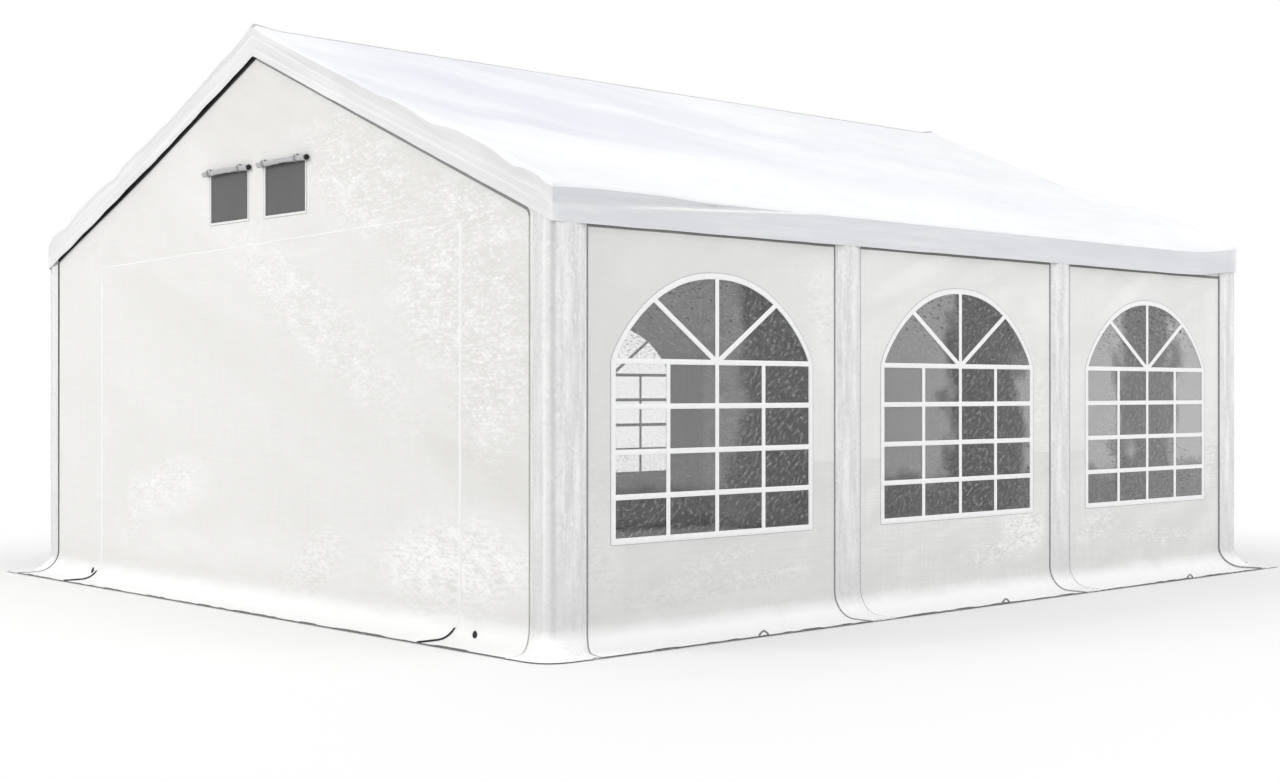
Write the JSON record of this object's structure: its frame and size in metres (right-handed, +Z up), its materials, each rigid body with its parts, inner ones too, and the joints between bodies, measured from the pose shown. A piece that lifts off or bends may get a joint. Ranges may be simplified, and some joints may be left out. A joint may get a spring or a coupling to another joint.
{
  "type": "marquee tent",
  "caption": "Gable-roofed marquee tent: sheet walls on a tube frame, arched side windows, a zipped door and vents in each gable, and a ground skirt.",
  "frame": {"origin": "on the ground at the middle of the tent's plan", "axes": "+Z up, +Y along the ridge towards the back gable, +X towards the right side wall"},
  "size_m": [5.79, 6.69, 3.29],
  "materials": {
    "roof_sheet": "white coated woven sheet, soft sheen",
    "wall_sheet": "warm white coated woven sheet with a fine grid and soft creases",
    "cover_sheet": "white coated sheet with crinkles",
    "clear_film": "clear flexible film, slightly rippled",
    "vent_mesh": "dark fine netting",
    "galvanised_tube": "galvanised steel tube"
  },
  "bodies": {
    "root": {"back_door_sheet": "wall_sheet", "back_gable_wall": "wall_sheet", "back_left_corner_cover": "cover_sheet", "back_right_corner_cover": "cover_sheet", "back_vent_roll_1": "cover_sheet", "back_vent_roll_2": "cover_sheet", "back_vent_screen_1": "vent_mesh", "back_vent_screen_2": "vent_mesh", "frame_portal_1": "galvanised_tube", "frame_portal_2": "galvanised_tube", "frame_portal_3": "galvanised_tube", "frame_portal_4": "galvanised_tube", "front_door_sheet": "wall_sheet", "front_gable_wall": "wall_sheet", "front_left_corner_cover": "cover_sheet", "front_right_corner_cover": "cover_sheet", "front_vent_roll_1": "cover_sheet", "front_vent_roll_2": "cover_sheet", "front_vent_screen_1": "vent_mesh", "front_vent_screen_2": "vent_mesh", "left_eave_tube_1": "galvanised_tube", "left_eave_tube_2": "galvanised_tube", "left_eave_tube_3": "galvanised_tube", "left_post_cover_1": "cover_sheet", "left_post_cover_2": "cover_sheet", "left_wall_1": "wall_sheet", "left_wall_2": "wall_sheet", "left_wall_3": "wall_sheet", "left_window_film_1": "clear_film", "left_window_film_2": "clear_film", "left_window_film_3": "clear_film", "ridge_tube_1": "galvanised_tube", "ridge_tube_2": "galvanised_tube", "ridge_tube_3": "galvanised_tube", "right_eave_tube_1": "galvanised_tube", "right_eave_tube_2": "galvanised_tube", "right_eave_tube_3": "galvanised_tube", "right_post_cover_1": "cover_sheet", "right_post_cover_2": "cover_sheet", "right_wall_1": "wall_sheet", "right_wall_2": "wall_sheet", "right_wall_3": "wall_sheet", "right_window_film_1": "clear_film", "right_window_film_2": "clear_film", "right_window_film_3": "clear_film", "roof_cover": "roof_sheet"}
  },
  "joints": []
}
